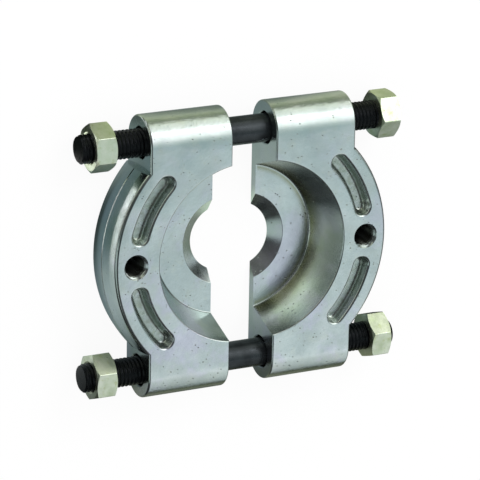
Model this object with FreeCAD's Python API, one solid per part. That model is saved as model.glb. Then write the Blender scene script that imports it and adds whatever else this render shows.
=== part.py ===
import FreeCAD, Part
import math
import os

# Bearing separator: two mirrored half plates that close round a shaft behind a bearing,
# drawn together by two long studs with a hexagon nut on each end.
# All sizes are in millimetres and degrees. The separator lies on its flat back:
# +X runs along the studs, +Y from the lower stud to the upper one, +Z towards the front.
# The origin is on the back plane, at the middle of the overall length and width.

# Half plates
PLATE_THICKNESS = 27.0
HALF_GAP = 23.2              # open distance between the two mating faces
CENTRE_SETBACK = 7.2         # the ring's centre lies this far beyond the mating face
RECESS_MOUTH_RADIUS = 45.0
RECESS_WALL_ANGLE = 19.5     # wall leans in towards the back by this much
WEB_THICKNESS = 5.2          # what is left behind the recess
OPENING_RADIUS = 16.5        # sharp rim of the shaft opening, on the back face
OPENING_BEVEL_ANGLE = 51.3   # bevel of the web's inner edge, from the ring's axis
KNIFE_LAND = 0.3             # narrow flat left on the sharp rim
RING_WIDTH = 24.2            # from the recess mouth to the parting line of the rim
RIM_DRAFT_ANGLE = 2.5        # forging draft, both ways from the parting line
RIM_SHOULDER_HEIGHT = 6.0    # next to each face the rim leans in more
RIM_SHOULDER_ANGLE = 9.0
RIM_EDGE_CHAMFER = 1.0
FLASH_HEIGHT = 0.25          # trimmed forging flash on the parting line
FLASH_WIDTH = 1.0

# Lugs that carry the studs
LUG_LENGTH = 42.8            # along the stud
LUG_EDGE_CHAMFER = 0.6
BORE_WALL = 5.0              # metal between the recess mouth and the stud bore
BORE_CLEARANCE = 0.9         # round the stud, on the radius
BORE_CHAMFER = 0.5

# Curved pockets in the front face, above and below the side hole
POCKET_WIDTH = 8.4
POCKET_DEPTH = 5.0
POCKET_START_ANGLE = 15.0    # centres of the pocket's round ends, from the X axis
POCKET_END_ANGLE = 43.2
POCKET_WALL_ANGLE = 18.0
POCKET_MOUTH_CHAMFER = 0.8

# Tapped side hole for a puller screw
SIDE_HOLE_DIAMETER = 10.2
SIDE_HOLE_MOUTH = 12.6

# Studs
STUD_DIAMETER = 14.0
STUD_REACH = 29.15           # how far a centred stud stands out of each lug
STUD_END_CHAMFER = 0.9
STUD_SHIFT = {"upper": -2.35, "lower": -0.65}   # along X, from the middle of the gap

# Nuts: "showing" is how far the stud's end stands out of the nut, and the turn is the
# angle of one corner from +Z towards +Y
NUT_WALL = 3.5               # from the stud's surface to a flat
NUT_THICKNESS = 10.5
NUT_CLEARANCE = 0.06         # round the stud, on the radius
NUT_CHAMFER_ANGLE = 30.0     # takes the corners off at both faces
NUT_MOUTH_DEPTH = 0.9        # countersink where the stud comes out of the nut
NUT_SEAT_MARGIN = 0.3        # past a seated nut's corners, where the rim is cut away
NUTS = {
    "nut_upper_left": {"side": -1, "row": "upper", "showing": 5.3, "turn": 35.4},
    "nut_lower_left": {"side": -1, "row": "lower", "showing": 4.3, "turn": 22.0},
    "nut_upper_right": {"side": 1, "row": "upper", "showing": 0.4, "turn": -4.8},
    "nut_lower_right": {"side": 1, "row": "lower", "showing": 3.2, "turn": 19.6},
}

# Sizes that follow from those above
CUT_MARGIN = 2.0             # how far a cutting solid runs past the face it opens
LUG_RADIUS = PLATE_THICKNESS / 2
BORE_RADIUS = STUD_DIAMETER / 2 + BORE_CLEARANCE
RECESS_HALF_CHORD = math.sqrt(RECESS_MOUTH_RADIUS ** 2 - CENTRE_SETBACK ** 2)
STUD_Y = RECESS_HALF_CHORD + BORE_WALL + BORE_RADIUS
ROW_Y = {"upper": STUD_Y, "lower": -STUD_Y}
RIM_RADIUS = RECESS_MOUTH_RADIUS + RING_WIDTH
MID_RADIUS = (RECESS_MOUTH_RADIUS + RIM_RADIUS) / 2
STUD_LENGTH = HALF_GAP + 2 * (LUG_LENGTH + STUD_REACH)
GAP_CENTRE_X = -(min(STUD_SHIFT.values()) + max(STUD_SHIFT.values())) / 2
NUT_FLAT_RADIUS = STUD_DIAMETER / 2 + NUT_WALL
NUT_CORNER_RADIUS = NUT_FLAT_RADIUS / math.cos(math.radians(30))
RIM_STEP_Y = STUD_Y - NUT_CORNER_RADIUS - NUT_SEAT_MARGIN

X_AXIS = FreeCAD.Vector(1, 0, 0)
Z_AXIS = FreeCAD.Vector(0, 0, 1)


def tan(degrees):
    return math.tan(math.radians(degrees))


def cos(degrees):
    return math.cos(math.radians(degrees))


def sin(degrees):
    return math.sin(math.radians(degrees))


def line(start, end):
    return Part.LineSegment(start, end).toShape()


def arc(start, middle, end):
    return Part.Arc(start, middle, end).toShape()


def polygon_face(points):
    """A flat face with straight edges through the points."""
    return Part.Face(Part.makePolygon(points + points[:1]))


def block(low, high):
    """A box between two opposite corners."""
    size = high - low
    return Part.makeBox(size.x, size.y, size.z, low)


def at(radius, z):
    """A point of a profile about the ring's axis, drawn in the XZ plane."""
    return FreeCAD.Vector(radius, 0, z)


def rim_disc():
    """The whole disc that a half ring is cut from: drafted rim, trimmed flash, eased edges."""
    middle = PLATE_THICKNESS / 2
    shoulder_z = PLATE_THICKNESS - RIM_SHOULDER_HEIGHT
    shoulder_radius = RIM_RADIUS - (shoulder_z - middle) * tan(RIM_DRAFT_ANGLE)
    edge_z = PLATE_THICKNESS - RIM_EDGE_CHAMFER
    edge_radius = shoulder_radius - (edge_z - shoulder_z) * tan(RIM_SHOULDER_ANGLE)
    upper = [
        at(RIM_RADIUS + FLASH_HEIGHT, middle),
        at(RIM_RADIUS, middle + FLASH_WIDTH / 2),
        at(shoulder_radius, shoulder_z),
        at(edge_radius, edge_z),
        at(edge_radius - RIM_EDGE_CHAMFER, PLATE_THICKNESS),
    ]
    lower = [at(point.x, PLATE_THICKNESS - point.z) for point in reversed(upper[1:])]
    profile = [at(0, 0)] + lower + upper + [at(0, PLATE_THICKNESS)]
    return polygon_face(profile).revolve(FreeCAD.Vector(), Z_AXIS, 360)


def lug_bar():
    """Both lugs in one bar: flat front and back, half round at the top and bottom ends."""
    top = PLATE_THICKNESS
    tip = STUD_Y + LUG_RADIUS
    corners = {
        "back_low": FreeCAD.Vector(0, -STUD_Y, 0),
        "back_high": FreeCAD.Vector(0, STUD_Y, 0),
        "front_high": FreeCAD.Vector(0, STUD_Y, top),
        "front_low": FreeCAD.Vector(0, -STUD_Y, top),
    }
    edges = [
        line(corners["back_low"], corners["back_high"]),
        arc(corners["back_high"], FreeCAD.Vector(0, tip, LUG_RADIUS), corners["front_high"]),
        line(corners["front_high"], corners["front_low"]),
        arc(corners["front_low"], FreeCAD.Vector(0, -tip, LUG_RADIUS), corners["back_low"]),
    ]
    bar = Part.Face(Part.Wire(edges)).extrude(X_AXIS * LUG_LENGTH)
    outer_edges = [edge for edge in bar.Edges if edge.BoundBox.XMin > LUG_LENGTH - 1e-6]
    return bar.makeChamfer(LUG_EDGE_CHAMFER, outer_edges)


def recess_cutter():
    """Conical recess from the front and the bevelled shaft opening through the web."""
    wall_slope = tan(RECESS_WALL_ANGLE)
    floor_radius = RECESS_MOUTH_RADIUS - (PLATE_THICKNESS - WEB_THICKNESS) * wall_slope
    bevel_radius = OPENING_RADIUS + (WEB_THICKNESS - KNIFE_LAND) * tan(OPENING_BEVEL_ANGLE)
    over_radius = RECESS_MOUTH_RADIUS + CUT_MARGIN * wall_slope
    profile = [
        at(0, -CUT_MARGIN),
        at(OPENING_RADIUS, -CUT_MARGIN),
        at(OPENING_RADIUS, KNIFE_LAND),
        at(bevel_radius, WEB_THICKNESS),
        at(floor_radius, WEB_THICKNESS),
        at(over_radius, PLATE_THICKNESS + CUT_MARGIN),
        at(0, PLATE_THICKNESS + CUT_MARGIN),
    ]
    return polygon_face(profile).revolve(FreeCAD.Vector(), Z_AXIS, 360)


def pocket_side():
    """One side of the pocket's section, from the middle: width and height of each corner."""
    top = PLATE_THICKNESS
    lean = tan(POCKET_WALL_ANGLE)
    half = POCKET_WIDTH / 2
    return [
        (half - POCKET_DEPTH * lean, top - POCKET_DEPTH),
        (half - POCKET_MOUTH_CHAMFER * lean, top - POCKET_MOUTH_CHAMFER),
        (half + POCKET_MOUTH_CHAMFER, top),
        (half + POCKET_MOUTH_CHAMFER, top + CUT_MARGIN),
    ]


def pocket_cutter():
    """One curved pocket, about the ring's axis, above the X axis."""
    side = pocket_side()
    outer = [at(MID_RADIUS + x, z) for x, z in side]
    inner = [at(MID_RADIUS - x, z) for x, z in reversed(side)]
    sweep = polygon_face(outer + inner).revolve(
        FreeCAD.Vector(), Z_AXIS, POCKET_END_ANGLE - POCKET_START_ANGLE)
    sweep.rotate(FreeCAD.Vector(), Z_AXIS, POCKET_START_ANGLE)
    axis = [at(0, side[-1][1]), at(0, side[0][1])]
    end_section = polygon_face([at(x, z) for x, z in side] + axis)
    ends = []
    for angle in (POCKET_START_ANGLE, POCKET_END_ANGLE):
        end = end_section.revolve(FreeCAD.Vector(), Z_AXIS, 360)
        end.translate(FreeCAD.Vector(MID_RADIUS * cos(angle), MID_RADIUS * sin(angle), 0))
        ends.append(end)
    return sweep.fuse(ends)


def side_hole_cutter():
    """Tapping-size hole right through the ring, countersunk at both faces."""
    radius = SIDE_HOLE_DIAMETER / 2
    mouth = SIDE_HOLE_MOUTH / 2
    depth = mouth - radius
    top = PLATE_THICKNESS
    profile = [
        at(0, -CUT_MARGIN),
        at(mouth, -CUT_MARGIN),
        at(mouth, 0),
        at(radius, depth),
        at(radius, top - depth),
        at(mouth, top),
        at(mouth, top + CUT_MARGIN),
        at(0, top + CUT_MARGIN),
    ]
    hole = polygon_face(profile).revolve(FreeCAD.Vector(), Z_AXIS, 360)
    hole.translate(FreeCAD.Vector(MID_RADIUS, 0, 0))
    return hole


def stud_bore_cutter(y):
    """Clearance bore for one stud along both lugs' length, chamfered at its ends."""
    mouth = BORE_RADIUS + BORE_CHAMFER
    profile = [
        FreeCAD.Vector(-CUT_MARGIN, 0, 0),
        FreeCAD.Vector(-CUT_MARGIN, mouth, 0),
        FreeCAD.Vector(0, mouth, 0),
        FreeCAD.Vector(BORE_CHAMFER, BORE_RADIUS, 0),
        FreeCAD.Vector(LUG_LENGTH - BORE_CHAMFER, BORE_RADIUS, 0),
        FreeCAD.Vector(LUG_LENGTH, mouth, 0),
        FreeCAD.Vector(LUG_LENGTH + CUT_MARGIN, mouth, 0),
        FreeCAD.Vector(LUG_LENGTH + CUT_MARGIN, 0, 0),
    ]
    bore = polygon_face(profile).revolve(FreeCAD.Vector(), X_AXIS, 360)
    bore.translate(FreeCAD.Vector(0, y, LUG_RADIUS))
    return bore


def rim_limits(reach):
    """Blocks that end the disc at the lugs: beside their round ends, and where nuts seat."""
    shoulder_x = LUG_LENGTH - LUG_EDGE_CHAMFER
    top = PLATE_THICKNESS + CUT_MARGIN
    blocks = []
    for low, high in ((STUD_Y, STUD_Y + reach), (-STUD_Y - reach, -STUD_Y)):
        blocks.append(block(FreeCAD.Vector(-CUT_MARGIN, low, -CUT_MARGIN),
                            FreeCAD.Vector(LUG_LENGTH, high, top)))
    for low, high in ((RIM_STEP_Y, reach), (-reach, -RIM_STEP_Y)):
        blocks.append(block(FreeCAD.Vector(shoulder_x, low, -CUT_MARGIN),
                            FreeCAD.Vector(reach, high, top)))
    return blocks


def half_plate():
    """One forged half, with its mating face on X = 0 and its ring towards +X."""
    to_ring_axis = FreeCAD.Vector(-CENTRE_SETBACK, 0, 0)
    reach = RIM_RADIUS + FLASH_HEIGHT + CUT_MARGIN
    disc = rim_disc()
    disc.translate(to_ring_axis)
    behind_mating_face = block(
        FreeCAD.Vector(-CENTRE_SETBACK - reach, -reach, -CUT_MARGIN),
        FreeCAD.Vector(0, reach, PLATE_THICKNESS + CUT_MARGIN))
    ring = disc.cut([behind_mating_face] + rim_limits(reach))
    body = ring.fuse(lug_bar()).removeSplitter()

    pocket = pocket_cutter()
    lower_pocket = pocket.mirror(FreeCAD.Vector(), FreeCAD.Vector(0, 1, 0))
    about_ring_axis = [recess_cutter(), pocket, lower_pocket, side_hole_cutter()]
    for cutter in about_ring_axis:
        cutter.translate(to_ring_axis)
    stud_bores = [stud_bore_cutter(y) for y in ROW_Y.values()]
    return body.cut(about_ring_axis + stud_bores).removeSplitter().Solids[0]


def stud(row):
    """One stud with chamfered ends."""
    radius = STUD_DIAMETER / 2
    rod = Part.makeCylinder(radius, STUD_LENGTH, FreeCAD.Vector(-STUD_LENGTH / 2, 0, 0), X_AXIS)
    end_edges = [
        edge for edge in rod.Edges
        if isinstance(edge.Curve, Part.Circle)
    ]
    rod = rod.makeChamfer(STUD_END_CHAMFER, end_edges)
    rod.translate(FreeCAD.Vector(GAP_CENTRE_X + STUD_SHIFT[row], ROW_Y[row], LUG_RADIUS))
    return rod


def nut():
    """A hexagon nut along +X with its bearing face on X = 0 and one corner on +Z."""
    corners = [
        FreeCAD.Vector(0, NUT_CORNER_RADIUS * sin(60 * k), NUT_CORNER_RADIUS * cos(60 * k))
        for k in range(6)
    ]
    hexagon = polygon_face(corners).extrude(X_AXIS * NUT_THICKNESS)
    over = NUT_CORNER_RADIUS + CUT_MARGIN
    rise = (over - NUT_FLAT_RADIUS) * tan(NUT_CHAMFER_ANGLE)
    barrel = polygon_face([
        FreeCAD.Vector(0, 0, 0),
        FreeCAD.Vector(0, NUT_FLAT_RADIUS, 0),
        FreeCAD.Vector(rise, over, 0),
        FreeCAD.Vector(NUT_THICKNESS - rise, over, 0),
        FreeCAD.Vector(NUT_THICKNESS, NUT_FLAT_RADIUS, 0),
        FreeCAD.Vector(NUT_THICKNESS, 0, 0),
    ]).revolve(FreeCAD.Vector(), X_AXIS, 360)
    radius = STUD_DIAMETER / 2 + NUT_CLEARANCE
    mouth = radius + NUT_MOUTH_DEPTH
    bore = polygon_face([
        FreeCAD.Vector(-CUT_MARGIN, 0, 0),
        FreeCAD.Vector(-CUT_MARGIN, radius, 0),
        FreeCAD.Vector(NUT_THICKNESS - NUT_MOUTH_DEPTH, radius, 0),
        FreeCAD.Vector(NUT_THICKNESS, mouth, 0),
        FreeCAD.Vector(NUT_THICKNESS + CUT_MARGIN, mouth, 0),
        FreeCAD.Vector(NUT_THICKNESS + CUT_MARGIN, 0, 0),
    ]).revolve(FreeCAD.Vector(), X_AXIS, 360)
    return hexagon.common(barrel).cut(bore)


def placed_nut(side, row, showing, turn):
    """A nut on its stud, with its bearing face towards the lug."""
    shape = nut()
    shape.rotate(FreeCAD.Vector(), X_AXIS, -turn)
    if side < 0:
        shape = shape.mirror(FreeCAD.Vector(), X_AXIS)
    stud_middle = GAP_CENTRE_X + STUD_SHIFT[row]
    x = stud_middle + side * (STUD_LENGTH / 2 - showing - NUT_THICKNESS)
    shape.translate(FreeCAD.Vector(x, ROW_Y[row], LUG_RADIUS))
    return shape


def placed_half(side):
    """A half plate on its side of the gap; the left one is the mirror image."""
    shape = half_plate()
    if side < 0:
        shape = shape.mirror(FreeCAD.Vector(), X_AXIS)
    shape.translate(FreeCAD.Vector(GAP_CENTRE_X + side * HALF_GAP / 2, 0, 0))
    return shape


def build():
    shapes = {
        "half_plate_left": placed_half(-1),
        "half_plate_right": placed_half(1),
    }
    for row in STUD_SHIFT:
        shapes["stud_" + row] = stud(row)
    for name, place in NUTS.items():
        shapes[name] = placed_nut(**place)
    return shapes


os.makedirs("parts", exist_ok=True)
for node, solid in build().items():
    solid.exportStep("parts/" + node + ".step")
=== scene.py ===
import math

import bmesh
import bpy
import numpy as np
from mathutils import Matrix, Vector


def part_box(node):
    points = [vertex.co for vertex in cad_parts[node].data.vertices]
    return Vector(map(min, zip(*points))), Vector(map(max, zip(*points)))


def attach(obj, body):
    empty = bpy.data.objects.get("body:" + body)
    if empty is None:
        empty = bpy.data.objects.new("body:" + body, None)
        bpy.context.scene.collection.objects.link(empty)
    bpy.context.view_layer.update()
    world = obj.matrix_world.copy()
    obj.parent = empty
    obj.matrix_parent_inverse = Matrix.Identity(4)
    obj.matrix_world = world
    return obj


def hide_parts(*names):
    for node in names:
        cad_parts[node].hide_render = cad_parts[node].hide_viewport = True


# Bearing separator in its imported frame: finer meshes of the two half plates, the studs with
# their rolled threads and the nuts, with the floor, light and camera. Metres, +Z up; the sizes
# that name millimetres are turned into metres with MM.

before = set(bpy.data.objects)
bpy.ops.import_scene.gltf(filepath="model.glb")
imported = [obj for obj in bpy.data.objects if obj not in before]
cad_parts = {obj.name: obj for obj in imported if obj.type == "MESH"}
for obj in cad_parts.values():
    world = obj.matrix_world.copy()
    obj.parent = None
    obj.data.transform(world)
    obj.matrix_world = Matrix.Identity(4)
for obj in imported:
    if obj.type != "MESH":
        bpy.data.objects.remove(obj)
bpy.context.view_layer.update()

MM = 0.001

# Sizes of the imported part, in millimetres and degrees
GAP_CENTRE_X = 1.5
HALF_GAP = 23.2
PLATE_THICKNESS = 27.0
CENTRE_SETBACK = 7.2
RECESS_MOUTH_RADIUS = 45.0
RECESS_WALL_ANGLE = 19.5
WEB_THICKNESS = 5.2
OPENING_RADIUS = 16.5
OPENING_BEVEL_ANGLE = 51.3
KNIFE_LAND = 0.3
RING_WIDTH = 24.2
RIM_DRAFT_ANGLE = 2.5
RIM_SHOULDER_HEIGHT = 6.0
RIM_SHOULDER_ANGLE = 9.0
RIM_STEP_Y = 44.9
FLASH_HEIGHT = 0.25
FLASH_WIDTH = 1.0
LUG_LENGTH = 42.8
BORE_RADIUS = 7.9
BORE_CHAMFER = 0.5
POCKET_WIDTH = 8.4
POCKET_DEPTH = 5.0
POCKET_START_ANGLE = 15.0
POCKET_END_ANGLE = 43.2
POCKET_WALL_ANGLE = 18.0
SIDE_HOLE_RADIUS = 5.1
SIDE_HOLE_MOUTH_RADIUS = 6.3
STUD_Y = 57.32
STUD_RADIUS = 7.0
STUD_REACH = 29.15
STUD_END_CHAMFER = 0.9
NUT_WALL = 3.5
NUT_THICKNESS = 10.5
NUT_CLEARANCE = 0.06
NUT_CHAMFER_ANGLE = 30.0
NUT_MOUTH_DEPTH = 0.9

# Sizes that follow from those
RIM_RADIUS = RECESS_MOUTH_RADIUS + RING_WIDTH
MID_RADIUS = (RECESS_MOUTH_RADIUS + RIM_RADIUS) / 2
STUD_AXIS_Z = PLATE_THICKNESS / 2
STUD_LENGTH = HALF_GAP + 2 * (LUG_LENGTH + STUD_REACH)
NUT_FLAT_RADIUS = STUD_RADIUS + NUT_WALL
NUT_BORE_RADIUS = STUD_RADIUS + NUT_CLEARANCE

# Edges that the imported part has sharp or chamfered, rounded here
RIM_EDGE_RADIUS = 1.7
RIM_SHOULDER_ROUND = 14.0
FLASH_ROOT_ROUND = 0.25
FLASH_TIP_ROUND = 0.12
LUG_EDGE_RADIUS = 1.0
MATING_EDGE_RADIUS = 0.8
RECESS_MOUTH_ROUND = 0.8
RECESS_FLOOR_ROUND = 0.8
BEVEL_ROUND = 0.5
POCKET_MOUTH_ROUND = 1.2
POCKET_FLOOR_ROUND = 1.7
NUT_CORNER_ROUND = 0.6
NUT_CHAMFER_ROUND = 0.35

# Threads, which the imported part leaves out. The shares are of half a pitch, from where the
# thread's radius is smallest: how much is flat there, and how much is flank.
STUD_THREAD_PITCH = 2.0
STUD_THREAD_DEPTH = 0.65
STUD_THREAD_LENGTH = 47.0
STUD_THREAD_RUN_OUT = 3.0
STUD_THREAD_SHARES = (0.26, 0.56)
SIDE_THREAD_PITCH = 1.75
SIDE_THREAD_DEPTH = 0.9
SIDE_THREAD_SHARES = (0.14, 0.7)

# How finely round forms are divided
RING_SEGMENTS = 216
STUD_SEGMENTS = 72
SIDE_HOLE_SEGMENTS = 60
BORE_SEGMENTS = 80
NUT_SEGMENTS = 144
NUT_BORE_SEGMENTS = 72

OVERSHOOT = 2.0              # how far a cutting shape runs past the face it opens
WELD_DISTANCE = 0.004        # corners nearer than this are one
SLIVER_LENGTH = 0.002        # shorter edges are taken out

HALVES = {"half_plate_left": -1, "half_plate_right": 1}
STUDS = ("stud_upper", "stud_lower")
# Side of the gap, and the angle of one corner from +Z towards +Y
NUTS = {
    "nut_upper_left": (-1, 35.4),
    "nut_lower_left": (-1, 22.0),
    "nut_upper_right": (1, -4.8),
    "nut_lower_right": (1, 19.6),
}


# Meshes


def new_object(name, data):
    obj = bpy.data.objects.new(name, data)
    bpy.context.scene.collection.objects.link(obj)
    return obj


def mesh_from_grid(name, grid):
    """A closed tube mesh from rows of points, each row once round the axis."""
    rows, count = grid.shape[:2]
    faces = []
    for i in range(rows - 1):
        for k in range(count):
            following = (k + 1) % count
            faces.append((i * count + k, i * count + following,
                          (i + 1) * count + following, (i + 1) * count + k))
    faces.append(tuple(reversed(range(count))))
    faces.append(tuple((rows - 1) * count + k for k in range(count)))
    mesh = bpy.data.meshes.new(name)
    mesh.from_pydata(grid.reshape(-1, 3).tolist(), [], faces)
    mesh.update()
    return mesh


def sweep(centres, outward, profile, axis):
    """Grid of a profile (distance from the centre, height) carried round a loop of stations."""
    centres, outward, axis = (np.array(v, float) for v in (centres, outward, axis))
    rows = [centres + reach * outward + height * axis for reach, height in profile]
    return np.stack(rows)


def round_trip(count):
    """Angles of a full turn, in so many steps."""
    return np.linspace(0, 2 * math.pi, count, endpoint=False)


def about_axis(centre, axis, count):
    """Stations of a full turn about a line through the centre, along X or Z."""
    angles = round_trip(count)
    zero = np.zeros(count)
    if axis == "Z":
        outward = np.stack([np.cos(angles), np.sin(angles), zero], axis=-1)
    else:
        outward = np.stack([zero, np.cos(angles), np.sin(angles)], axis=-1)
    return np.tile(centre, (count, 1)), outward


def rounded(points, steps=6):
    """A profile whose corners with a third value are rounded to that radius."""
    out = []
    for k, point in enumerate(points):
        if len(point) == 2:
            out.append(point)
            continue
        corner, radius = np.array(point[:2], float), point[2]
        before = np.array(points[k - 1][:2], float) - corner
        after = np.array(points[(k + 1) % len(points)][:2], float) - corner
        before /= np.linalg.norm(before)
        after /= np.linalg.norm(after)
        half = math.acos(max(-1.0, min(1.0, before @ after))) / 2
        centre = corner + (before + after) / np.linalg.norm(before + after) \
            * radius / math.sin(half)
        start = corner + before * radius / math.tan(half) - centre
        end = corner + after * radius / math.tan(half) - centre
        first = math.atan2(start[1], start[0])
        turn = math.atan2(end[1], end[0]) - first
        turn = (turn + math.pi) % (2 * math.pi) - math.pi
        for j in range(steps + 1):
            angle = first + turn * j / steps
            out.append((centre[0] + radius * math.cos(angle),
                        centre[1] + radius * math.sin(angle)))
    return out


def tan(degrees):
    return math.tan(math.radians(degrees))


def disc_grid():
    """The disc that the ring is cut from, with its parting line and rounded edges."""
    top, middle = PLATE_THICKNESS, PLATE_THICKNESS / 2
    shoulder = RIM_RADIUS - (middle - RIM_SHOULDER_HEIGHT) * tan(RIM_DRAFT_ANGLE)
    edge = shoulder - RIM_SHOULDER_HEIGHT * tan(RIM_SHOULDER_ANGLE)
    half = [
        (edge, 0, RIM_EDGE_RADIUS),
        (shoulder, RIM_SHOULDER_HEIGHT, RIM_SHOULDER_ROUND),
        (RIM_RADIUS, middle - FLASH_WIDTH / 2, FLASH_ROOT_ROUND),
        (RIM_RADIUS + FLASH_HEIGHT, middle, FLASH_TIP_ROUND),
    ]
    other = [(radius, top - height, turn) for radius, height, turn in reversed(half[:-1])]
    core = 20.0
    profile = rounded([(core, 0)] + half + other + [(core, top)])
    return sweep(*about_axis((-CENTRE_SETBACK, 0, 0), "Z", RING_SEGMENTS), profile, (0, 0, 1))


def lug_bar_grid():
    """Both lugs in one bar, half round at its two ends, with rounded edges at both faces."""
    flat = np.linspace(-STUD_Y, STUD_Y, 25)
    half_turn = np.linspace(0, math.pi, 33)[1:-1]
    centres, outward = [], []
    for y in flat:
        centres.append((0, y, STUD_AXIS_Z))
        outward.append((0, 0, 1))
    for angle in half_turn:
        centres.append((0, STUD_Y, STUD_AXIS_Z))
        outward.append((0, math.sin(angle), math.cos(angle)))
    for y in reversed(flat):
        centres.append((0, y, STUD_AXIS_Z))
        outward.append((0, 0, -1))
    for angle in half_turn:
        centres.append((0, -STUD_Y, STUD_AXIS_Z))
        outward.append((0, -math.sin(angle), -math.cos(angle)))
    core, radius = 4.0, STUD_AXIS_Z
    profile = rounded([
        (core, 0), (radius, 0, MATING_EDGE_RADIUS),
        (radius, LUG_LENGTH, LUG_EDGE_RADIUS), (core, LUG_LENGTH),
    ])
    return sweep(centres, outward, profile, (1, 0, 0))


def recess_grid():
    """Conical recess and bevelled shaft opening, with a softened mouth."""
    top = PLATE_THICKNESS
    slope = tan(RECESS_WALL_ANGLE)
    floor = RECESS_MOUTH_RADIUS - (top - WEB_THICKNESS) * slope
    bevel = OPENING_RADIUS + (WEB_THICKNESS - KNIFE_LAND) * tan(OPENING_BEVEL_ANGLE)
    arc = rounded([(floor, WEB_THICKNESS), (RECESS_MOUTH_RADIUS, top, RECESS_MOUTH_ROUND),
                   (RIM_RADIUS, top)])[1:-1]
    profile = [(OPENING_RADIUS, -OVERSHOOT), (OPENING_RADIUS, KNIFE_LAND)]
    profile += rounded([
        (OPENING_RADIUS, KNIFE_LAND), (bevel, WEB_THICKNESS, BEVEL_ROUND),
        (floor, WEB_THICKNESS, RECESS_FLOOR_ROUND), (RECESS_MOUTH_RADIUS, top),
    ])[1:-1]
    profile += arc + [(arc[-1][0], top + OVERSHOOT)]
    return sweep(*about_axis((-CENTRE_SETBACK, 0, 0), "Z", RING_SEGMENTS), profile, (0, 0, 1))


def pocket_grid(row):
    """One curved pocket with rounded mouth and floor; row is 1 above the X axis, -1 below."""
    first, last = (math.radians(v) for v in (POCKET_START_ANGLE, POCKET_END_ANGLE))
    along = np.linspace(first, last, 22)
    cap = np.linspace(0, math.pi, 21)[1:-1]

    def station(angle, turn):
        centre = (MID_RADIUS * math.cos(angle) - CENTRE_SETBACK,
                  MID_RADIUS * math.sin(angle) * row, 0)
        facing = angle + turn
        return centre, (math.cos(facing), math.sin(facing) * row, 0)

    stations = [station(a, 0) for a in along]
    stations += [station(last, t) for t in cap]
    stations += [station(a, math.pi) for a in reversed(along)]
    stations += [station(first, math.pi + t) for t in cap]
    if row < 0:
        stations.reverse()
    centres, outward = zip(*stations)
    top, half = PLATE_THICKNESS, POCKET_WIDTH / 2
    lean = tan(POCKET_WALL_ANGLE)
    floor = half - POCKET_DEPTH * lean
    strip = 0.3              # half the width that is left along the middle of the floor
    wall = [(strip, top - POCKET_DEPTH), (floor, top - POCKET_DEPTH, POCKET_FLOOR_ROUND),
            (half, top, POCKET_MOUTH_ROUND), (2 * half, top)]
    profile = rounded(wall)[:-1]
    profile.append((profile[-1][0], top + OVERSHOOT))
    return sweep(centres, outward, profile, (0, 0, 1))


def stud_bore_grid(row):
    """Clearance bore for a stud along its lug, chamfered at both ends."""
    mouth = BORE_RADIUS + BORE_CHAMFER
    profile = [
        (mouth, -OVERSHOOT), (mouth, 0), (BORE_RADIUS, BORE_CHAMFER),
        (BORE_RADIUS, LUG_LENGTH - BORE_CHAMFER), (mouth, LUG_LENGTH),
        (mouth, LUG_LENGTH + OVERSHOOT),
    ]
    centre = (0, row * STUD_Y, STUD_AXIS_Z)
    return sweep(*about_axis(centre, "X", BORE_SEGMENTS), profile, (1, 0, 0))


def thread_rise(turns, shares):
    """0 in the middle of each pitch and 1 between two of them, with a straight flank."""
    flat, flank = shares
    phase = np.abs(turns % 1.0 - 0.5) * 2
    return np.clip((phase - flat) / flank, 0, 1)


def side_hole_grid():
    """Threaded side hole right through the ring, countersunk at both faces."""
    top = PLATE_THICKNESS
    step = SIDE_THREAD_PITCH / 9
    heights = np.arange(0, top + step / 2, step)
    heights[-1] = top
    height, angle = np.meshgrid(heights, round_trip(SIDE_HOLE_SEGMENTS), indexing="ij")
    cone = SIDE_HOLE_MOUTH_RADIUS - np.minimum(height, top - height)
    turns = height / SIDE_THREAD_PITCH + angle / (2 * math.pi)
    thread = SIDE_HOLE_RADIUS + SIDE_THREAD_DEPTH * thread_rise(turns, SIDE_THREAD_SHARES)
    radius = np.maximum(thread, cone)
    radius = np.concatenate([radius[:1], radius, radius[-1:]])
    angle = np.concatenate([angle[:1], angle, angle[-1:]])
    height = np.concatenate([height[:1] - OVERSHOOT, height, height[-1:] + OVERSHOOT])
    centre_x = MID_RADIUS - CENTRE_SETBACK
    return np.stack([centre_x + radius * np.cos(angle), radius * np.sin(angle), height], axis=-1)


def ring_limits_grid():
    """Block that keeps the ring's part of the disc, with a step where the nuts seat."""
    inner, shoulder = MATING_EDGE_RADIUS + 0.2, LUG_LENGTH - LUG_EDGE_RADIUS
    reach = RIM_RADIUS + 2 * OVERSHOOT
    outline = [
        (inner, -STUD_Y), (shoulder, -STUD_Y), (shoulder, -RIM_STEP_Y), (reach, -RIM_STEP_Y),
        (reach, RIM_STEP_Y), (shoulder, RIM_STEP_Y), (shoulder, STUD_Y), (inner, STUD_Y),
    ]
    levels = (-OVERSHOOT, PLATE_THICKNESS + OVERSHOOT)
    return np.array([[(x, y, z) for x, y in outline] for z in levels], float)


def combine(obj, grids, operation):
    """Adds to, cuts from or keeps of a mesh what the closed shapes say."""
    bm = bmesh.new()
    for grid in grids:
        mesh = mesh_from_grid("shape", grid)
        bm.from_mesh(mesh)
        bpy.data.meshes.remove(mesh)
    bmesh.ops.recalc_face_normals(bm, faces=bm.faces)
    mesh = bpy.data.meshes.new("shapes")
    bm.to_mesh(mesh)
    bm.free()
    tool = new_object("shapes", mesh)
    step = obj.modifiers.new("combine", "BOOLEAN")
    step.operation = operation
    step.solver = "EXACT"
    step.object = tool
    graph = bpy.context.evaluated_depsgraph_get()
    result = bpy.data.meshes.new_from_object(obj.evaluated_get(graph))
    obj.modifiers.clear()
    obj.data = result
    bpy.data.objects.remove(tool)
    bpy.data.meshes.remove(mesh)


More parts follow.
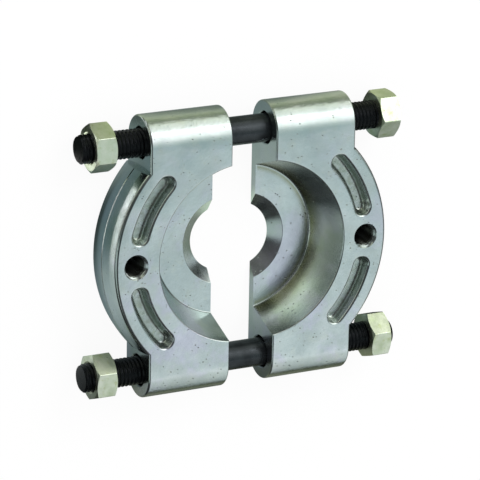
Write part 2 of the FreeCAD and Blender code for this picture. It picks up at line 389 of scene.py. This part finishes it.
def tidy_mesh(obj):
    """Joins corners that lie together and takes out slivers, in millimetres."""
    bm = bmesh.new()
    bm.from_mesh(obj.data)
    bmesh.ops.remove_doubles(bm, verts=bm.verts, dist=WELD_DISTANCE)
    bmesh.ops.dissolve_degenerate(bm, dist=SLIVER_LENGTH, edges=bm.edges)
    bmesh.ops.recalc_face_normals(bm, faces=bm.faces)
    bm.to_mesh(obj.data)
    bm.free()


def place_mesh(obj, side, shift):
    """Mirrors a mesh in millimetres to its side and moves it to its place, in metres."""
    turn = Matrix.Diagonal((side * MM, MM, MM, 1))
    obj.data.transform(Matrix.Translation(Vector(shift) * MM) @ turn)
    if side < 0:
        obj.data.flip_normals()


def plate_object(node, side):
    """A half plate, made on +X from its mating face and then placed on its side."""
    obj = new_object(node + "_body", mesh_from_grid("disc", disc_grid()))
    combine(obj, [ring_limits_grid()], "INTERSECT")
    combine(obj, [lug_bar_grid()], "UNION")
    cuts = [recess_grid(), side_hole_grid()]
    cuts += [pocket_grid(row) for row in (1, -1)] + [stud_bore_grid(row) for row in (1, -1)]
    combine(obj, cuts, "DIFFERENCE")
    tidy_mesh(obj)
    place_mesh(obj, side, (GAP_CENTRE_X + side * HALF_GAP / 2, 0, 0))
    settle_mesh(obj, 30)
    return obj


def settle_mesh(obj, sharp_angle):
    """Smooth shading that keeps hard edges hard and flat faces flat."""
    mesh = obj.data
    mesh.name = obj.name + "_mesh"
    mesh.polygons.foreach_set("use_smooth", [True] * len(mesh.polygons))
    mesh.set_sharp_from_angle(angle=math.radians(sharp_angle))
    normals = obj.modifiers.new("face_normals", "WEIGHTED_NORMAL")
    normals.keep_sharp = True
    normals.weight = 50


def stud_stations(start, end):
    """Places along a stud, close together on its threads and few on its plain shank."""
    chamfer = np.linspace(0, STUD_END_CHAMFER, 4)[:-1]
    threaded = np.arange(STUD_END_CHAMFER, STUD_THREAD_LENGTH, STUD_THREAD_PITCH / 10)
    inwards = np.concatenate([chamfer, threaded])
    left = start + inwards
    right = end - inwards[::-1]
    return np.concatenate([left, np.linspace(left[-1], right[0], 8)[1:-1], right])


def stud_object(node):
    """A stud with rolled threads that run out towards its plain shank."""
    low, high = (np.array(c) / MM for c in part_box(node))
    centre_y = (low[1] + high[1]) / 2
    start, end = low[0], high[0]
    x, angle = np.meshgrid(stud_stations(start, end), round_trip(STUD_SEGMENTS), indexing="ij")
    near = np.minimum(x - start, end - x)
    last_groove = STUD_THREAD_LENGTH - STUD_THREAD_PITCH / 5
    fade = np.clip((last_groove - near) / STUD_THREAD_RUN_OUT, 0, 1)
    turns = (x - start) / STUD_THREAD_PITCH - angle / (2 * math.pi)
    groove = STUD_THREAD_DEPTH * (1 - thread_rise(turns, STUD_THREAD_SHARES))
    chamfer = STUD_RADIUS - STUD_END_CHAMFER + near
    radius = np.minimum(STUD_RADIUS - groove * fade, chamfer)
    grid = np.stack([x, centre_y + radius * np.cos(angle), STUD_AXIS_Z + radius * np.sin(angle)],
                    axis=-1) * MM
    mesh = mesh_from_grid(node + "_mesh", grid)
    obj = new_object(node + "_threaded", mesh)
    settle_mesh(obj, 70)
    return obj


def hexagon_grid():
    """Hexagon prism with softened corners."""
    reach = NUT_FLAT_RADIUS / math.cos(math.pi / 6)
    outline = rounded([(reach * math.sin(math.pi / 3 * k), reach * math.cos(math.pi / 3 * k),
                        NUT_CORNER_ROUND) for k in range(6)], 5)
    levels = (-OVERSHOOT, NUT_THICKNESS + OVERSHOOT)
    return np.array([[(x, y, z) for y, z in outline] for x in levels])


def nut_barrel_grid():
    """The turned blank that the nut's chamfers come from."""
    over = NUT_FLAT_RADIUS / math.cos(math.pi / 6) + OVERSHOOT
    rise = (over - NUT_FLAT_RADIUS) * tan(NUT_CHAMFER_ANGLE)
    core = 4.0
    profile = rounded([
        (core, 0), (NUT_FLAT_RADIUS, 0, NUT_CHAMFER_ROUND), (over, rise),
        (over, NUT_THICKNESS - rise), (NUT_FLAT_RADIUS, NUT_THICKNESS, NUT_CHAMFER_ROUND),
        (core, NUT_THICKNESS),
    ])
    return sweep(*about_axis((0, 0, 0), "X", NUT_SEGMENTS), profile, (1, 0, 0))


def nut_bore_grid():
    """The nut's plain bore, countersunk where the stud comes out."""
    mouth = NUT_BORE_RADIUS + NUT_MOUTH_DEPTH
    profile = [(NUT_BORE_RADIUS, -OVERSHOOT), (NUT_BORE_RADIUS, NUT_THICKNESS - NUT_MOUTH_DEPTH),
               (mouth, NUT_THICKNESS), (mouth, NUT_THICKNESS + OVERSHOOT)]
    return sweep(*about_axis((0, 0, 0), "X", NUT_BORE_SEGMENTS), profile, (1, 0, 0))


def nut_object(node, side, turn):
    """A nut along X from its bearing face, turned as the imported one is."""
    obj = new_object(node + "_body", mesh_from_grid("hexagon", hexagon_grid()))
    combine(obj, [nut_barrel_grid()], "INTERSECT")
    combine(obj, [nut_bore_grid()], "DIFFERENCE")
    tidy_mesh(obj)
    obj.data.transform(Matrix.Rotation(math.radians(-turn), 4, "X"))
    low, high = (np.array(c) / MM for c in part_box(node))
    bearing_x = low[0] if side > 0 else high[0]
    place_mesh(obj, side, (bearing_x, (low[1] + high[1]) / 2, STUD_AXIS_Z))
    settle_mesh(obj, 30)
    return obj


# Materials


class Nodes:
    """Short names for building a material's node tree."""

    def __init__(self, tree):
        self.tree = tree
        tree.nodes.clear()

    def add(self, kind, **values):
        node = self.tree.nodes.new(kind)
        for key, value in values.items():
            setattr(node, key, value)
        return node

    def link(self, out, into):
        self.tree.links.new(out, into)

    def noise(self, vector, scale, detail=3.0, rough=0.5):
        node = self.add("ShaderNodeTexNoise")
        node.inputs["Scale"].default_value = scale
        node.inputs["Detail"].default_value = detail
        node.inputs["Roughness"].default_value = rough
        self.link(vector, node.inputs["Vector"])
        return node.outputs["Fac"]

    def voronoi(self, vector, scale):
        node = self.add("ShaderNodeTexVoronoi")
        node.inputs["Scale"].default_value = scale
        self.link(vector, node.inputs["Vector"])
        return node.outputs["Distance"]

    def ramp(self, fac, stops):
        node = self.add("ShaderNodeValToRGB")
        elements = node.color_ramp.elements
        while len(elements) < len(stops):
            elements.new(0.5)
        for element, (place, colour) in zip(elements, stops):
            element.position = place
            element.color = colour + (1.0,)
        self.link(fac, node.inputs["Fac"])
        return node.outputs["Color"]

    def spread(self, value, low, high, to_low=0.0, to_high=1.0, smooth=True):
        node = self.add("ShaderNodeMapRange",
                        interpolation_type="SMOOTHSTEP" if smooth else "LINEAR")
        self.link(value, node.inputs["Value"])
        node.inputs["From Min"].default_value = low
        node.inputs["From Max"].default_value = high
        node.inputs["To Min"].default_value = to_low
        node.inputs["To Max"].default_value = to_high
        return node.outputs["Result"]

    def math(self, operation, a, b=None):
        node = self.add("ShaderNodeMath", operation=operation)
        for socket, value in zip(node.inputs, (a, b)):
            if value is None:
                continue
            if isinstance(value, (int, float)):
                socket.default_value = value
            else:
                self.link(value, socket)
        return node.outputs["Value"]

    def mix(self, fac, a, b, blend="MIX"):
        node = self.add("ShaderNodeMix", data_type="RGBA", blend_type=blend)
        sockets = [s for s in node.inputs if s.enabled]
        for socket, value in zip(sockets, (fac, a, b)):
            if isinstance(value, (int, float)):
                socket.default_value = value
            elif isinstance(value, tuple):
                socket.default_value = value + (1.0,)
            else:
                self.link(value, socket)
        return [s for s in node.outputs if s.enabled][0]

    def mix_shaders(self, fac, a, b):
        node = self.add("ShaderNodeMixShader")
        self.link(fac, node.inputs["Fac"])
        self.link(a, node.inputs[1])
        self.link(b, node.inputs[2])
        return node.outputs["Shader"]

    def bump(self, height, strength, distance, normal=None):
        node = self.add("ShaderNodeBump")
        node.inputs["Strength"].default_value = strength
        node.inputs["Distance"].default_value = distance
        self.link(height, node.inputs["Height"])
        if normal is not None:
            self.link(normal, node.inputs["Normal"])
        return node.outputs["Normal"]

    def principled(self, colour, roughness, normal, metallic):
        node = self.add("ShaderNodeBsdfPrincipled")
        self.link(colour, node.inputs["Base Color"])
        self.link(roughness, node.inputs["Roughness"])
        self.link(normal, node.inputs["Normal"])
        node.inputs["Metallic"].default_value = metallic
        out = self.add("ShaderNodeOutputMaterial")
        self.link(node.outputs["BSDF"], out.inputs["Surface"])


def new_material(name):
    material = bpy.data.materials.new(name)
    material.use_nodes = True
    nodes = Nodes(material.node_tree)
    place = nodes.add("ShaderNodeTexCoord").outputs["Object"]
    return material, nodes, place


def linear(red, green, blue):
    """Linear colour from screen values of 0 to 255."""
    def one(value):
        v = value / 255
        return v / 12.92 if v <= 0.04045 else ((v + 0.055) / 1.055) ** 2.4
    return (one(red), one(green), one(blue))


def ring_distance(n, place):
    """Distance from the axis of the half's own ring, and the place along X, Y and Z."""
    split = n.add("ShaderNodeSeparateXYZ")
    n.link(place, split.inputs["Vector"])
    along = n.math("SUBTRACT", split.outputs["X"], GAP_CENTRE_X * MM)
    x = n.math("SUBTRACT", n.math("ABSOLUTE", along), (HALF_GAP / 2 - CENTRE_SETBACK) * MM)
    y = split.outputs["Y"]
    squares = n.math("ADD", n.math("MULTIPLY", x, x), n.math("MULTIPLY", y, y))
    return n.math("POWER", squares, 0.5), along, y, split.outputs["Z"]


def near_corner(n, ring, along, height):
    """1 at the foot of the right half's recess wall, falling off up the wall and over the web: where
    the olive painted shade lies.
    """
    corner = RECESS_MOUTH_RADIUS - (PLATE_THICKNESS - WEB_THICKNESS) * tan(RECESS_WALL_ANGLE)
    inward = n.spread(ring, (corner - 4) * MM, corner * MM)
    upward = n.spread(height, (WEB_THICKNESS + 0.5) * MM, 0.017, 1.0, 0.0)
    outer_limit = n.spread(ring, 0.0455, 0.0465, 1.0, 0.0)
    this_half = n.spread(along, (HALF_GAP / 2 + 0.4) * MM, (HALF_GAP / 2 + 1.2) * MM)
    off_line = n.spread(n.math("ABSOLUTE", n.math("SUBTRACT", ring, (corner - 0.4) * MM)),
                        0.0003, 0.0010, 0.2, 1.0)
    limits = n.math("MULTIPLY", n.math("MULTIPLY", outer_limit, this_half), off_line)
    return n.math("MULTIPLY", n.math("MULTIPLY", inward, upward), limits)


def below_front(n, ring, y, height, half_width):
    """1 below the front face, along the circle of the pockets, to a distance across it."""
    middle = MID_RADIUS * MM
    low = n.spread(ring, middle - half_width - 0.001, middle - half_width)
    high = n.spread(ring, middle + half_width, middle + half_width + 0.001, 1.0, 0.0)
    across = n.spread(n.math("ABSOLUTE", y), 0.0435, 0.0445, 1.0, 0.0)
    deep = n.spread(height, 0.0232, 0.0264, 1.0, 0.0)
    return n.math("MULTIPLY", n.math("MULTIPLY", low, high), n.math("MULTIPLY", across, deep))


def zinc_pits(n, place):
    """1 in small pits, which lie in sparse groups."""
    pit = n.spread(n.voronoi(place, 460.0), 0.0, 0.18, 1.0, 0.0)
    sparse = n.spread(n.noise(place, 150.0, 2.0), 0.47, 0.6)
    return n.math("MULTIPLY", pit, sparse)


def zinc_colour(n, place, y, pocket, painted_corner_shade, pits):
    """Cloudy grey with lilac and olive patches, an olive painted shade at the foot of the right
    half's recess wall, pockets darker and greener in patches (partly their own colour, partly
    painted shade), and a near-black painted shade in the side hole.
    """
    cloud = n.noise(place, 42.0, 4.0, 0.55)
    tone = n.ramp(cloud, [(0.32, linear(178, 189, 187)), (0.52, linear(190, 200, 197)),
                          (0.72, linear(204, 210, 208))])
    patch = n.spread(n.noise(place, 150.0, 4.0, 0.6), 0.5, 0.72)
    tone = n.mix(n.math("MULTIPLY", patch, 0.35), tone, linear(196, 202, 190))
    lilac = n.math("MULTIPLY", n.spread(n.noise(place, 48.0, 4.0, 0.65), 0.46, 0.66),
                   n.spread(y, -0.03, 0.04, 0.75, 0.25))
    tone = n.mix(lilac, tone, linear(200, 200, 214))
    # Painted shade: an olive darkening at the foot of the right half's recess wall.
    tone = n.mix(painted_corner_shade, tone, linear(150, 152, 116))
    # The pockets darker and greener in patches: partly their own colour, partly painted shade.
    mottle = n.spread(n.noise(place, 420.0, 4.0, 0.7), 0.35, 0.65, 0.15, 0.7)
    tone = n.mix(n.math("MULTIPLY", pocket, mottle), tone, linear(150, 160, 142))
    # Painted shade: the inside of the side hole coloured near black.
    hole = n.math("MULTIPLY", pocket, n.spread(n.math("ABSOLUTE", y), 0.0066, 0.0074, 1.0, 0.0))
    tone = n.mix(n.math("MULTIPLY", hole, 0.93), tone, linear(24, 22, 16))
    return n.mix(n.math("MULTIPLY", pits, 0.7), tone, linear(100, 112, 112))


def zinc_relief(n, place, y, pocket, pits):
    """Slight waves, fine grain, pits, and a coarser skin in pockets and on the round ends."""
    wavy = n.bump(n.noise(place, 30.0, 2.0, 0.4), 0.3, 0.001)
    grain = n.bump(n.noise(place, 620.0, 4.0, 0.65), 0.22, 0.0001, wavy)
    cast = n.bump(n.math("MULTIPLY", pocket, n.noise(place, 500.0, 3.0, 0.6)), 0.5, 0.00025, grain)
    ends = n.spread(n.math("ABSOLUTE", y), 0.060, 0.066)
    forged = n.bump(n.math("MULTIPLY", ends, n.noise(place, 340.0, 4.0, 0.7)), 0.6, 0.00035, cast)
    return n.bump(n.math("MULTIPLY", pits, -1.0), 0.9, 0.0003, forged)


def zinc_plate_material():
    """Forged steel with bright zinc, rougher in pits, in pockets and under the painted corner shade.
    """
    material, n, place = new_material("zinc_plate")
    ring, along, y, height = ring_distance(n, place)
    # Painted shade: an olive darkening, in cloudy patches, at the foot of the right half's recess
    # wall.
    painted_corner_shade = n.math("MULTIPLY", near_corner(n, ring, along, height),
                   n.spread(n.noise(place, 60.0, 3.0), 0.25, 0.6, 0.5, 0.95))
    pocket = below_front(n, ring, y, height, 0.0062)
    pits = zinc_pits(n, place)
    rough = n.spread(n.noise(place, 90.0, 4.0, 0.6), 0.3, 0.7, 0.16, 0.25)
    rough = n.math("ADD", rough, n.math("MULTIPLY", pits, 0.1))
    rough = n.math("ADD", rough, n.math("MULTIPLY", n.math("ADD", pocket, painted_corner_shade), 0.08))
    tone = zinc_colour(n, place, y, pocket, painted_corner_shade, pits)
    n.principled(tone, rough, zinc_relief(n, place, y, pocket, pits), 1.0)
    return material


def black_oxide_material():
    """Blackened steel with an oily sheen: the plain shank lighter in colour than the rolled threads,
    a painted sheen.
    """
    material, n, place = new_material("black_oxide")
    cloud = n.noise(place, 140.0, 4.0, 0.6)
    split = n.add("ShaderNodeSeparateXYZ")
    n.link(place, split.inputs["Vector"])
    shank_end = (STUD_LENGTH / 2 - STUD_THREAD_LENGTH) * MM
    threaded = n.spread(n.math("ABSOLUTE", split.outputs["X"]), shank_end, shank_end + 0.003)
    # Painted sheen: the plain shank lighter than the threads, which keep the darker colour.
    tone = n.ramp(cloud, [(0.3, linear(38, 42, 45)), (0.7, linear(58, 63, 66))])
    tone = n.mix(threaded, tone, linear(22, 25, 28))
    roughness = n.spread(n.noise(place, 220.0, 3.0, 0.6), 0.3, 0.7, 0.25, 0.36)
    normal = n.bump(n.noise(place, 1200.0, 2.0, 0.5), 0.15, 0.00005)
    n.principled(tone, roughness, normal, 0.75)
    return material


def yellow_zinc_material():
    """Yellow passivated zinc: pale greenish yellow with cloudy patches and small dark nicks."""
    material, n, place = new_material("yellow_zinc")
    cloud = n.noise(place, 150.0, 4.0, 0.6)
    tone = n.ramp(cloud, [(0.3, linear(196, 209, 176)), (0.5, linear(214, 223, 200)),
                          (0.7, linear(228, 233, 216))])
    patch = n.spread(n.noise(place, 340.0, 3.0, 0.6), 0.55, 0.72)
    tone = n.mix(n.math("MULTIPLY", patch, 0.5), tone, linear(182, 190, 130))
    nick = n.spread(n.voronoi(place, 330.0), 0.0, 0.13, 1.0, 0.0)
    sparse = n.spread(n.noise(place, 210.0, 2.0), 0.58, 0.68)
    nicks = n.math("MULTIPLY", nick, sparse)
    tone = n.mix(n.math("MULTIPLY", nicks, 0.8), tone, linear(70, 76, 56))
    roughness = n.spread(n.noise(place, 260.0, 4.0, 0.6), 0.3, 0.7, 0.28, 0.40)
    wavy = n.bump(n.noise(place, 180.0, 3.0, 0.5), 0.2, 0.0003)
    normal = n.bump(n.math("MULTIPLY", nicks, -1.0), 0.5, 0.0001, wavy)
    n.principled(tone, roughness, normal, 1.0)
    return material


# Studio


# The floor as only the metal mirrors it, a glowing floor drawn after the photograph's reflections,
# by distance
# from the middle in metres: open in the gap between the halves, with painted shade of the plates,
# studs and nuts, olive behind them and painted light on the left
FLOOR_NEAR = [
    (0.0, (0.66, 0.76, 0.62)), (0.018, (0.66, 0.76, 0.62)), (0.028, (0.44, 0.51, 0.49)),
    (0.045, (0.42, 0.49, 0.47)), (0.062, (0.24, 0.30, 0.30)), (0.082, (0.22, 0.28, 0.27)),
    (0.090, (0.04, 0.05, 0.04)), (0.42, (0.03, 0.03, 0.03)),
]
FLOOR_BEHIND = [
    (0.0, (0.22, 0.26, 0.22)), (0.080, (0.22, 0.26, 0.22)), (0.092, (0.44, 0.49, 0.39)),
    (0.106, (0.64, 0.69, 0.50)), (0.120, (0.50, 0.55, 0.37)), (0.140, (0.36, 0.41, 0.27)),
    (0.21, (0.30, 0.34, 0.24)), (0.42, (0.27, 0.30, 0.23)),
]
FLOOR_LEFT = [
    (0.0, (0.10, 0.14, 0.14)), (0.0735, (0.05, 0.07, 0.07)), (0.0750, (0.18, 0.25, 0.27)),
    (0.079, (0.16, 0.23, 0.25)), (0.086, (0.13, 0.19, 0.18)), (0.0958, (0.26, 0.34, 0.30)),
    (0.0970, (3.00, 3.00, 2.96)), (0.0990, (3.00, 3.00, 2.96)), (0.1004, (0.03, 0.04, 0.03)),
    (0.133, (0.03, 0.04, 0.04)), (0.138, (1.80, 1.82, 1.80)), (0.175, (1.80, 1.82, 1.80)),
    (0.182, (0.04, 0.05, 0.04)), (0.42, (0.04, 0.04, 0.04)),
]
FLOOR_LEFT_LOW = [
    (0.0, (0.20, 0.26, 0.27)), (0.0735, (0.18, 0.24, 0.25)), (0.079, (0.48, 0.56, 0.57)),
    (0.086, (0.44, 0.52, 0.53)), (0.0945, (0.55, 0.63, 0.63)), (0.100, (0.95, 1.00, 0.98)),
    (0.106, (0.45, 0.50, 0.50)), (0.13, (0.10, 0.12, 0.11)), (0.42, (0.03, 0.04, 0.04)),
]
FLOOR_PEAK = 3.0
FLOOR_REACH = 0.42
FLOOR_WHITE_TO_CAMERA = 0.93     # the rest is matt, and keeps the shadow
FLOOR_SIZE = 30.0
FLOOR_DROP = 0.00005             # below the back plane, so that the two don't coincide


def floor_shade(n, x, y, out):
    """Painted light and shade of the mirrored floor: unlike on the two sides of a diagonal in the
    middle, and falling off towards the lower stud and past it."""
    diagonal = n.math("ADD", y, n.math("MULTIPLY", x, 0.9))
    far = n.spread(out, 0.019 / FLOOR_REACH, 0.028 / FLOOR_REACH)
    middle = n.math("MAXIMUM", n.spread(diagonal, -0.004, 0.008, 0.42, 1.35), far)
    middle = n.math("MINIMUM", middle, n.math("SUBTRACT", 1.35, n.math("MULTIPLY", far, 0.35)))
    return n.math("MULTIPLY", middle, n.spread(y, -0.085, -0.03, 0.36, 1.0))


def mirrored_floor(n, place):
    """Glowing colour of the floor in the metal, with its painted light and shade, in zones of the
    four lists above.
    """
    split = n.add("ShaderNodeSeparateXYZ")
    n.link(place, split.inputs["Vector"])
    x, y = split.outputs["X"], split.outputs["Y"]
    squares = n.math("ADD", n.math("MULTIPLY", x, x), n.math("MULTIPLY", y, y))
    out = n.spread(n.math("POWER", squares, 0.5), 0.0, FLOOR_REACH, smooth=False)
    near, behind, left, left_low = (
        n.ramp(out, [(d / FLOOR_REACH, tuple(c / FLOOR_PEAK for c in colour))
                     for d, colour in stops])
        for stops in (FLOOR_NEAR, FLOOR_BEHIND, FLOOR_LEFT, FLOOR_LEFT_LOW))
    left = n.mix(n.spread(y, -0.025, 0.012, 1.0, 0.0), left, left_low)
    colour = n.mix(n.spread(n.math("ABSOLUTE", y), 0.066, 0.074), near, behind)
    colour = n.mix(n.spread(x, -0.070, -0.056, 1.0, 0.0), colour, left)
    emission = n.add("ShaderNodeEmission")
    n.link(colour, emission.inputs["Color"])
    strength = n.math("MULTIPLY", floor_shade(n, x, y, out), FLOOR_PEAK)
    n.link(strength, emission.inputs["Strength"])
    return emission.outputs["Emission"]


def floor_material():
    """Plain white floor that keeps the shadow, and how it shows in metal."""
    material, n, place = new_material("floor")
    diffuse = n.add("ShaderNodeBsdfDiffuse")
    diffuse.inputs["Color"].default_value = (0.86, 0.86, 0.86, 1.0)
    white = n.add("ShaderNodeEmission")
    path = n.add("ShaderNodeLightPath")
    to_camera = n.math("MULTIPLY", path.outputs["Is Camera Ray"], FLOOR_WHITE_TO_CAMERA)
    plain = n.mix_shaders(to_camera, diffuse.outputs["BSDF"], white.outputs["Emission"])
    mixed = n.mix_shaders(path.outputs["Is Glossy Ray"], plain, mirrored_floor(n, place))
    out = n.add("ShaderNodeOutputMaterial")
    n.link(mixed, out.inputs["Surface"])
    return material


def add_floor():
    half = FLOOR_SIZE / 2
    mesh = bpy.data.meshes.new("floor_mesh")
    corners = [(-half, -half, 0), (half, -half, 0), (half, half, 0), (-half, half, 0)]
    mesh.from_pydata(corners, [], [(0, 1, 2, 3)])
    floor = new_object("floor", mesh)
    floor.location.z = -FLOOR_DROP
    mesh.materials.append(floor_material())


# The room as only the metal mirrors it, drawn after the photograph's reflections. The angle runs
# about the X axis, from straight up (0) towards +Y (90 is the horizon behind, -90 the one in front).
SKY_ANGLES = [
    (-92, (0.42, 0.47, 0.47)), (-80, (0.52, 0.57, 0.57)), (-60, (0.76, 0.81, 0.81)),
    (-42, (0.88, 0.93, 0.93)), (-30, (1.11, 1.16, 1.20)), (-23, (0.98, 1.05, 1.10)),
    (-15, (0.43, 0.57, 0.60)), (-8, (0.66, 0.79, 0.78)), (4, (0.95, 1.04, 1.03)),
    (12, (1.70, 1.75, 1.75)), (22, (2.00, 2.02, 2.02)), (31, (2.10, 2.12, 2.08)),
    (35, (3.60, 3.60, 3.60)), (41, (3.60, 3.60, 3.60)), (48, (2.10, 2.12, 2.10)),
    (62, (1.50, 1.53, 1.46)), (78, (1.50, 1.55, 1.36)), (85, (1.32, 1.38, 1.14)),
    (90, (0.42, 0.45, 0.36)),
]
# Share of that brightness from the left of the room (-1) to its right (1)
SKY_ACROSS = [
    (-0.6, 0.04), (-0.35, 0.05), (-0.18, 0.04), (-0.02, 0.06), (0.15, 0.14), (0.30, 0.60),
    (0.39, 1.00), (0.455, 1.20), (0.470, 1.28), (0.486, 0.80), (0.58, 0.90), (0.70, 0.90),
    (0.80, 0.45), (0.9, 0.35), (0.99, 0.25),
]
SKY_PEAK = 3.6
SHARE_PEAK = 1.6
# Soft panes on the left of the room: where they end across it, the angles between which they
# rise and fall, and their colour
PANES = [
    ((-0.30, -0.1), (52, 63, 83, 89), (0.86, 0.90, 0.72)),
    ((-0.64, -0.5), (-62, -46, -14, 0), (0.58, 0.68, 0.66)),
]


def pane_shape(n, x, angle, across, around):
    """1 inside a soft pane on the left of the room."""
    first, second, third, fourth = (math.radians(v) for v in around)
    side = n.spread(x, across[0], across[1], 1.0, 0.0)
    rise = n.math("MULTIPLY", n.spread(angle, first, second),
                  n.spread(angle, third, fourth, 1.0, 0.0))
    return n.math("MULTIPLY", side, rise)


def mirrored_room(n):
    """Light and dark of the room, from the lists above."""
    split = n.add("ShaderNodeSeparateXYZ")
    n.link(n.add("ShaderNodeTexCoord").outputs["Generated"], split.inputs["Vector"])
    x = split.outputs["X"]
    angle = n.math("ARCTAN2", split.outputs["Y"], split.outputs["Z"])
    around = n.spread(angle, -math.pi, math.pi, smooth=False)
    levels = n.ramp(around, [((degrees + 180) / 360, tuple(c / SKY_PEAK for c in colour))
                             for degrees, colour in SKY_ANGLES])
    across = n.ramp(n.spread(x, -1.0, 1.0, smooth=False),
                    [((at + 1) / 2, (share / SHARE_PEAK,) * 3) for at, share in SKY_ACROSS])
    strength = SKY_PEAK * SHARE_PEAK
    colour = n.mix(1.0, levels, across, "MULTIPLY")
    for pane_across, pane_around, pane_colour in PANES:
        shape = pane_shape(n, x, angle, pane_across, pane_around)
        colour = n.mix(shape, colour, tuple(c / strength for c in pane_colour))
    room = n.add("ShaderNodeBackground")
    n.link(colour, room.inputs["Color"])
    room.inputs["Strength"].default_value = strength
    return room.outputs["Background"]


def add_world():
    """White to the camera and to matt surfaces; the room's own light and dark in metal."""
    world = bpy.data.worlds.new("studio")
    bpy.context.scene.world = world
    world.use_nodes = True
    n = Nodes(world.node_tree)
    white = n.add("ShaderNodeBackground")
    white.inputs["Color"].default_value = (1.0, 1.0, 1.0, 1.0)
    glossy = n.add("ShaderNodeLightPath").outputs["Is Glossy Ray"]
    out = n.add("ShaderNodeOutputWorld")
    n.link(n.mix_shaders(glossy, white.outputs["Background"], mirrored_room(n)),
           out.inputs["Surface"])


# Softbox above the upper studs, in metres and watts
SOFTBOX_PLACE = (0.45, 0.75, 0.75)
SOFTBOX_TARGET = (0, 0, 0.01)
SOFTBOX_SIZE = (0.7, 0.5)
SOFTBOX_POWER = 5.0


def add_softbox():
    """The one lamp, which the metal doesn't mirror."""
    light = bpy.data.lights.new("softbox_key", "AREA")
    light.shape = "RECTANGLE"
    light.size, light.size_y = SOFTBOX_SIZE
    light.energy = SOFTBOX_POWER
    obj = new_object("softbox_key", light)
    obj.location = SOFTBOX_PLACE
    obj.visible_glossy = False
    obj.rotation_mode = "QUATERNION"
    facing = Vector(SOFTBOX_TARGET) - Vector(SOFTBOX_PLACE)
    obj.rotation_quaternion = facing.to_track_quat("-Z", "Y")


# Camera, as the photograph was taken: angles about the object, with the front towards +Z. The
# distance is in metres, and the lens and the shifts of the target are in millimetres.
CAMERA_AZIMUTH = 26.53
CAMERA_ELEVATION = 18.32
CAMERA_ROLL = 1.07
CAMERA_DISTANCE = 1.577
CAMERA_LENS = 244.05
CAMERA_SHIFT_RIGHT = -0.27
CAMERA_SHIFT_UP = 1.68


def add_camera():
    a, e, r = (math.radians(v) for v in (CAMERA_AZIMUTH, CAMERA_ELEVATION, CAMERA_ROLL))
    back = Vector((-math.sin(a) * math.cos(e), math.sin(e), math.cos(a) * math.cos(e)))
    level = Vector((math.cos(a), 0, math.sin(a)))
    rise = back.cross(level)
    right = math.cos(r) * level + math.sin(r) * rise
    up = -math.sin(r) * level + math.cos(r) * rise
    target = Vector((GAP_CENTRE_X, 0, PLATE_THICKNESS / 2))
    target += CAMERA_SHIFT_RIGHT * right + CAMERA_SHIFT_UP * up
    data = bpy.data.cameras.new("camera")
    data.sensor_width = 36.0
    data.lens = CAMERA_LENS
    data.clip_start, data.clip_end = 0.05, 50.0
    camera = new_object("camera", data)
    columns = Matrix((right, up, back)).transposed()
    camera.matrix_world = Matrix.Translation(target * MM + back * CAMERA_DISTANCE) \
        @ columns.to_4x4()
    bpy.context.scene.camera = camera


# Scene


def dress(obj, node, material):
    """Gives a mesh its material and puts it in its node's place, on the node's body."""
    obj.data.materials.clear()
    obj.data.materials.append(material)
    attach(obj, node)
    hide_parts(node)


def build_scene():
    zinc = zinc_plate_material()
    oxide = black_oxide_material()
    yellow = yellow_zinc_material()
    for node, side in HALVES.items():
        dress(plate_object(node, side), node, zinc)
    for node in STUDS:
        dress(stud_object(node), node, oxide)
    for node, (side, turn) in NUTS.items():
        dress(nut_object(node, side, turn), node, yellow)
    add_floor()
    add_world()
    add_softbox()
    add_camera()


bpy.context.scene.view_settings.view_transform = "Standard"
build_scene()
